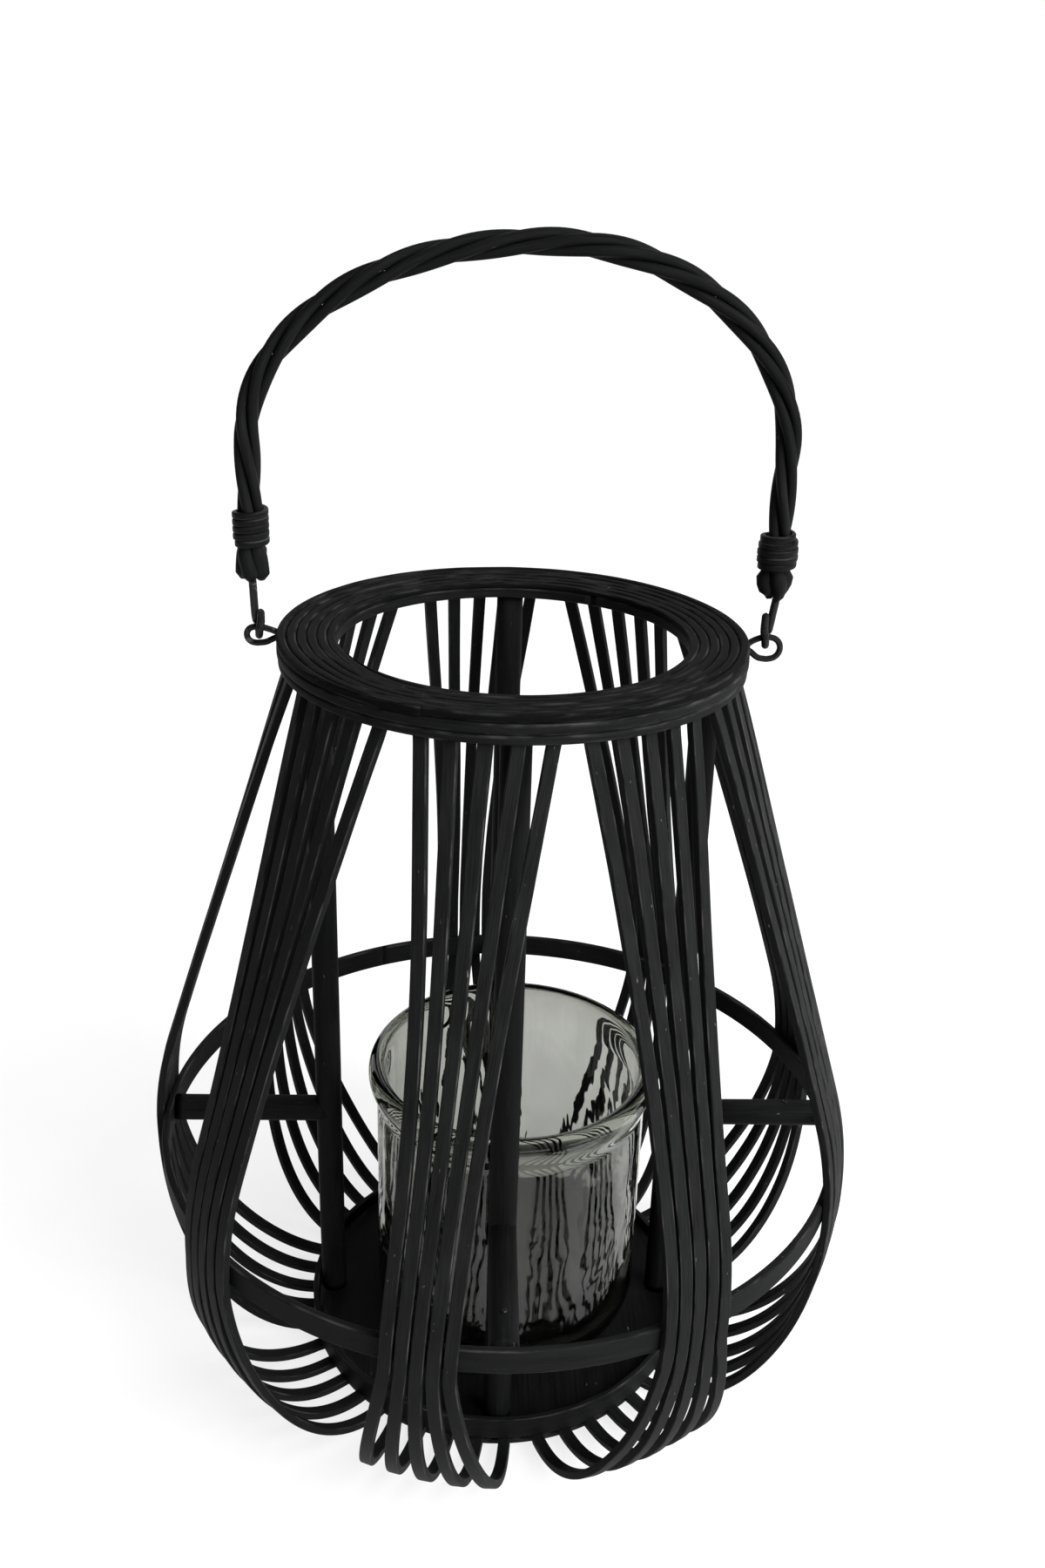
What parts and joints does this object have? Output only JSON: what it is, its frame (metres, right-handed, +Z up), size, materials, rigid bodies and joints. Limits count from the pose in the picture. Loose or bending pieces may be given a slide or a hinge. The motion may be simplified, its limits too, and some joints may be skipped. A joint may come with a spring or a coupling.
{
  "type": "candle lantern",
  "caption": "Pear-shaped cage of bent black bamboo strips on a round base, with a coiled top ring, a loose glass candle jar inside and a twisted cane bail handle.",
  "frame": {"origin": "centre of the underside of the bottom board, on the surface that the lantern stands on", "axes": "+Z up through the ring, +X towards the right end of the handle, -Y towards the front"},
  "size_m": [0.2921, 0.2953, 0.4703],
  "materials": {
    "bamboo_strip": "matte black stain over split bamboo",
    "bent_cane": "matte black stain over bent cane",
    "dowel": "matte black stain",
    "board": "matte black stain",
    "handle_cane": "matte black stain over round cane",
    "binding_cord": "matte black cane wrap",
    "black_wire": "semi-gloss black",
    "jar_glass": "clear, faintly rippled"
  },
  "bodies": {
    "frame": {"base_board": "board", "base_rim": "bent_cane", "bottom_board": "board", "front_post": "dowel", "front_spoke": "dowel", "left_eye": "black_wire", "left_post": "dowel", "left_spoke": "dowel", "lower_band": "bent_cane", "middle_hoop": "bent_cane", "rear_post": "dowel", "rear_spoke": "dowel", "right_eye": "black_wire", "right_post": "dowel", "right_spoke": "dowel", "ring_board": "board", "ring_coil": "bent_cane", "slat_bundle_1": "bamboo_strip", "slat_bundle_2": "bamboo_strip", "slat_bundle_3": "bamboo_strip", "slat_bundle_4": "bamboo_strip", "slat_bundle_5": "bamboo_strip", "slat_bundle_6": "bamboo_strip", "slat_bundle_7": "bamboo_strip", "slat_bundle_8": "bamboo_strip", "slat_bundle_9": "bamboo_strip", "spoke_nails": "black_wire", "upper_band": "bent_cane"},
    "handle": {"left_hook": "black_wire", "right_hook": "black_wire", "left_binding": "binding_cord", "right_binding": "binding_cord", "handle_cane_1": "handle_cane", "handle_cane_2": "handle_cane", "handle_cane_3": "handle_cane", "handle_cane_4": "handle_cane"},
    "jar": {"jar": "jar_glass"}
  },
  "joints": [
    {"name": "handle_swing", "type": "hinge", "parent": "frame", "child": "handle", "pos_m": [0, 0, 0.3276], "axis": [1, 0, 0], "range_deg": [-120, 120]},
    {"name": "jar_lift", "type": "slide", "parent": "frame", "child": "jar", "axis": [0, 0, 1], "range_m": [0, 0.295]}
  ]
}
